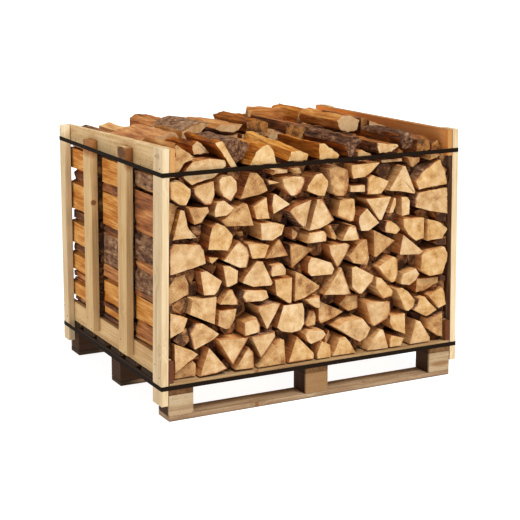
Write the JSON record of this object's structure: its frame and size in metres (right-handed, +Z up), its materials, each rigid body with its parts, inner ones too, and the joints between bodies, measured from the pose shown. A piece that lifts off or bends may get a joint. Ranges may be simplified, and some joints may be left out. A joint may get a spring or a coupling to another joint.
{
  "type": "pallet of firewood",
  "caption": "Wooden pallet crate with slatted sides, open front and back, packed with rows of split firewood, more logs on top and dark straps around it.",
  "frame": {"origin": "on the ground under the middle of the pallet", "axes": "+Z up, +X along the open front from left to right as seen from the front, +Y from the open front to the back"},
  "size_m": [1.259, 1.0022, 1.0104],
  "materials": {
    "upright_pine": "sawn pale softwood posts and slats, dry and unpainted",
    "rail_pine": "sawn softwood rails and boards with knots, unpainted",
    "board_pine": "rough-sawn pallet boards, unpainted",
    "block_pine": "rough-sawn pallet blocks, unpainted",
    "stringer_pine": "darker sawn stringer boards, unpainted",
    "split_logs": "split hardwood logs with sawn honey-coloured ends, orange-brown split sides and grey-brown bark",
    "strap": "dark plastic strapping with a slight sheen"
  },
  "bodies": {
    "root": {"block_back_centre": "block_pine", "block_back_left": "block_pine", "block_back_right": "block_pine", "block_front_centre": "block_pine", "block_front_left": "block_pine", "block_front_right": "block_pine", "block_middle_centre": "block_pine", "block_middle_left": "block_pine", "block_middle_right": "block_pine", "bottom_board_back": "board_pine", "bottom_board_front": "board_pine", "bottom_board_middle": "board_pine", "deck_board_1": "board_pine", "deck_board_2": "board_pine", "deck_board_3": "board_pine", "deck_board_4": "board_pine", "deck_board_5": "board_pine", "deck_board_6": "board_pine", "deck_board_7": "board_pine", "log_row_back": "split_logs", "log_row_front": "split_logs", "log_row_middle": "split_logs", "low_board_left": "rail_pine", "low_board_right": "rail_pine", "post_left_back": "upright_pine", "post_left_front": "upright_pine", "post_right_back": "upright_pine", "post_right_front": "upright_pine", "rail_left": "rail_pine", "rail_right": "rail_pine", "slat_left_back": "upright_pine", "slat_left_front": "upright_pine", "slat_right_back": "upright_pine", "slat_right_front": "upright_pine", "strap_lower": "strap", "strap_upper": "strap", "stringer_centre": "stringer_pine", "stringer_left": "stringer_pine", "stringer_right": "stringer_pine", "top_log_back_crosswise": "split_logs", "top_log_back_left": "split_logs", "top_log_back_ridge": "split_logs", "top_log_back_round": "split_logs", "top_log_front_askew": "split_logs", "top_log_front_bark": "split_logs", "top_log_front_brown": "split_logs", "top_log_front_corner": "split_logs", "top_log_front_dark": "split_logs", "top_log_front_flat": "split_logs", "top_log_front_pale": "split_logs", "top_log_front_right": "split_logs", "top_log_front_slab": "split_logs", "top_log_front_wedge": "split_logs", "top_log_middle_bark": "split_logs", "top_log_middle_long": "split_logs", "top_log_middle_pale": "split_logs", "top_log_middle_red": "split_logs", "top_log_middle_round": "split_logs"}
  },
  "joints": []
}
